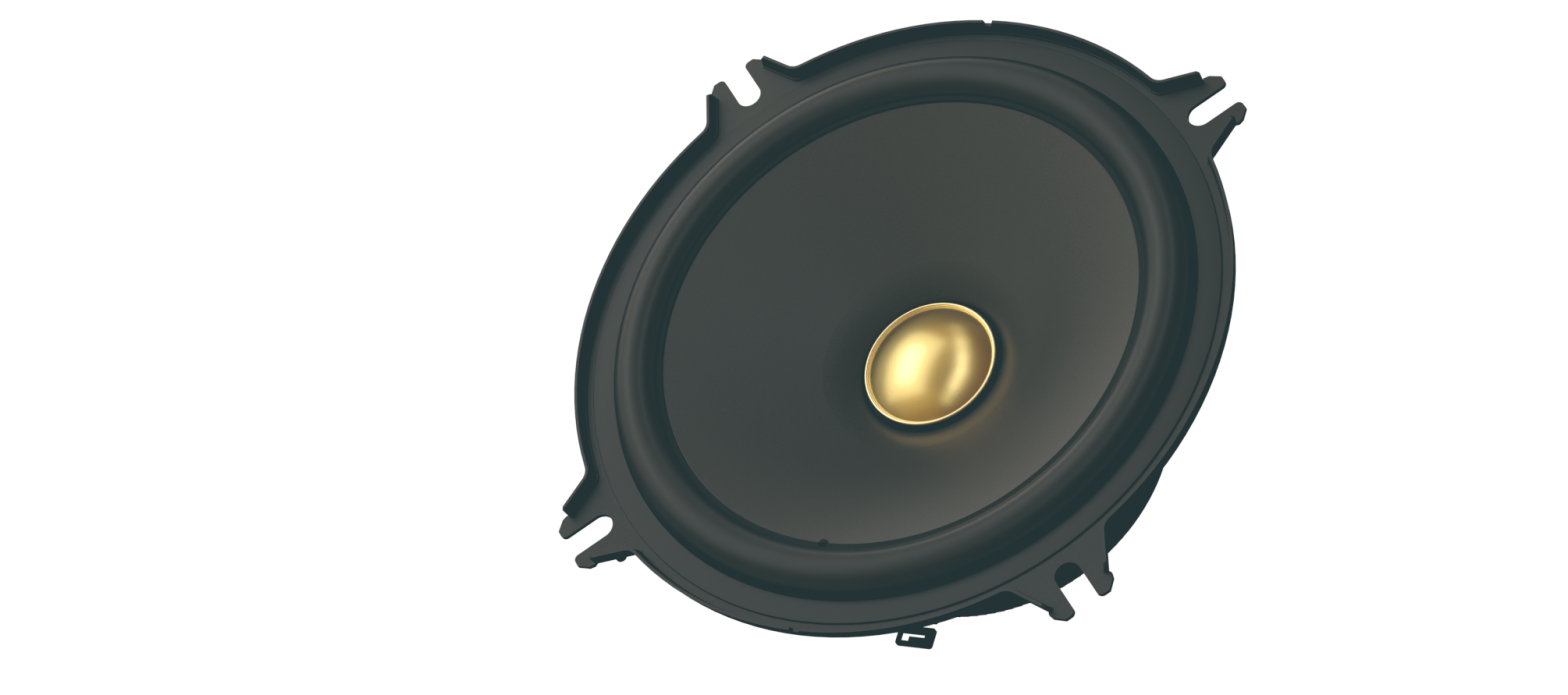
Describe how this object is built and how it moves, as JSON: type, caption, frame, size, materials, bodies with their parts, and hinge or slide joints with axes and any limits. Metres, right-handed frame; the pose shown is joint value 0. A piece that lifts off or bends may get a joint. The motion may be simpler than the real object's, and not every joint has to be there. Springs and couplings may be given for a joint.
{
  "type": "car woofer",
  "caption": "Round car door woofer with a slotted pressed-steel basket, half-roll surround, dark cone and gold domed dust cap.",
  "frame": {"origin": "centre of the mounting flange's back face, on the speaker's axis", "axes": "+Z along the axis, out of the cone towards the listener; -Y towards the terminal board; the ears lie at 45 degrees between X and Y"},
  "size_m": [0.1344, 0.1344, 0.0548],
  "materials": {
    "basket_paint": "satin black powder coat on pressed steel",
    "surround_rubber": "matt butyl rubber",
    "spider_cloth": "resin-stiffened woven cloth",
    "plated_steel": "zinc-plated turned steel",
    "ferrite": "sintered ferrite, dark grey",
    "copper_sheet": "drawn copper sheet",
    "screen_steel": "perforated steel",
    "boot_rubber": "matt moulded rubber",
    "stake_steel": "zinc-plated steel",
    "board_plastic": "black moulded board",
    "tag_brass": "plated brass",
    "lead_braid": "woven copper braid",
    "cone_paper": "fine-grained dark grey cone",
    "cap_gold": "gold anodised aluminium, satin",
    "former_foil": "thin aluminium foil tube",
    "winding_copper": "enamelled copper wire",
    "collar_paper": "kraft paper wrap",
    "adhesive": "black set adhesive"
  },
  "bodies": {
    "frame": {"basket": "basket_paint", "surround": "surround_rubber", "spider": "spider_cloth", "front_plate": "plated_steel", "magnet": "ferrite", "yoke": "plated_steel", "shorting_cap": "copper_sheet", "vent_screen": "screen_steel", "magnet_boot": "boot_rubber", "plate_stakes": "stake_steel", "terminal_board": "board_plastic", "positive_terminal": "tag_brass", "negative_terminal": "tag_brass", "terminal_rivets": "tag_brass", "board_rivets": "stake_steel", "positive_lead": "lead_braid", "negative_lead": "lead_braid"},
    "cone_assembly": {"cone": "cone_paper", "dust_cap": "cap_gold", "voice_coil_former": "former_foil", "voice_coil_winding": "winding_copper", "former_collar": "collar_paper", "neck_adhesive": "adhesive", "lead_anchors": "adhesive", "coil_wires": "winding_copper"}
  },
  "joints": [
    {"name": "cone_excursion", "type": "slide", "parent": "frame", "child": "cone_assembly", "axis": [0, 0, 1], "range_m": [-0.004, 0.004], "stiffness_N_per_m": 1500, "deforming": ["surround", "spider", "positive_lead", "negative_lead"]}
  ]
}
